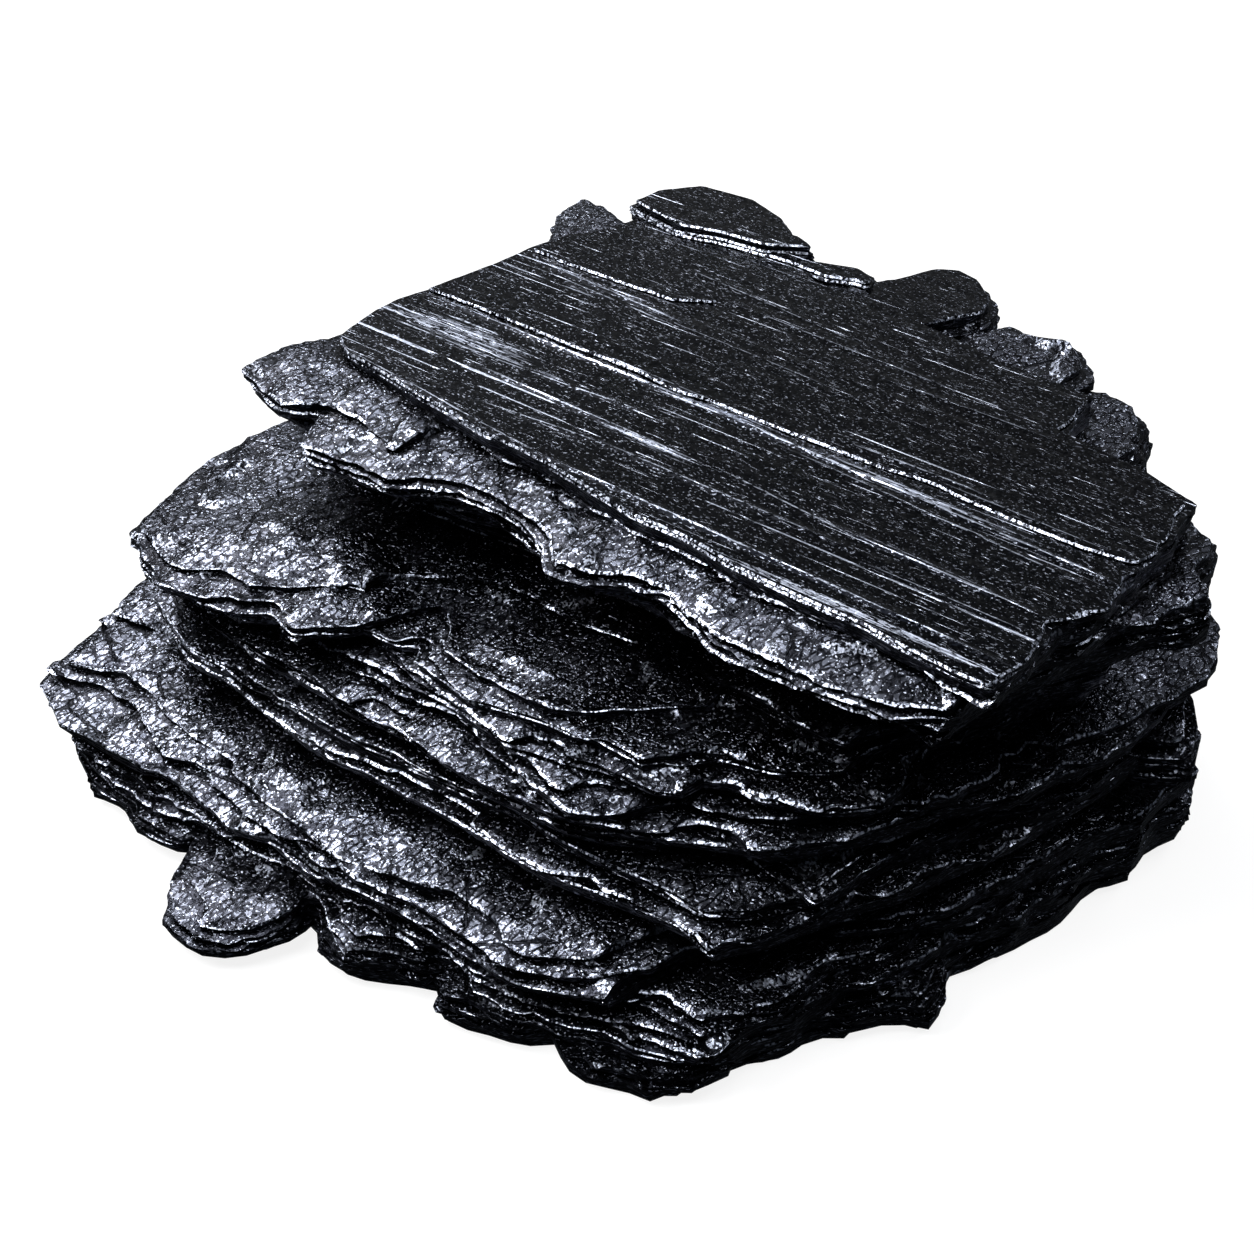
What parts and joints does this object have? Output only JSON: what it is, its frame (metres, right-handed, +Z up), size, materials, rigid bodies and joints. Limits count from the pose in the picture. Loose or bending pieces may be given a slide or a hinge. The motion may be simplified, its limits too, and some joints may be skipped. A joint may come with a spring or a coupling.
{
  "type": "graphite specimen",
  "caption": "Hand-sized block of foliated graphite: a stack of ragged cleavage plates with undercut ledges and a striated top, resting on its flat base.",
  "frame": {"origin": "middle of the block's plan box, on the surface that it rests on", "axes": "+X along the striations of the top face, +Y across them away from the undercut front ledges, +Z up through the stack of plates"},
  "size_m": [0.1016, 0.0936, 0.0383],
  "materials": {
    "graphite": "satin, glinting on fresh cleavage"
  },
  "bodies": {
    "root": {"graphite_specimen": "graphite"}
  },
  "joints": []
}
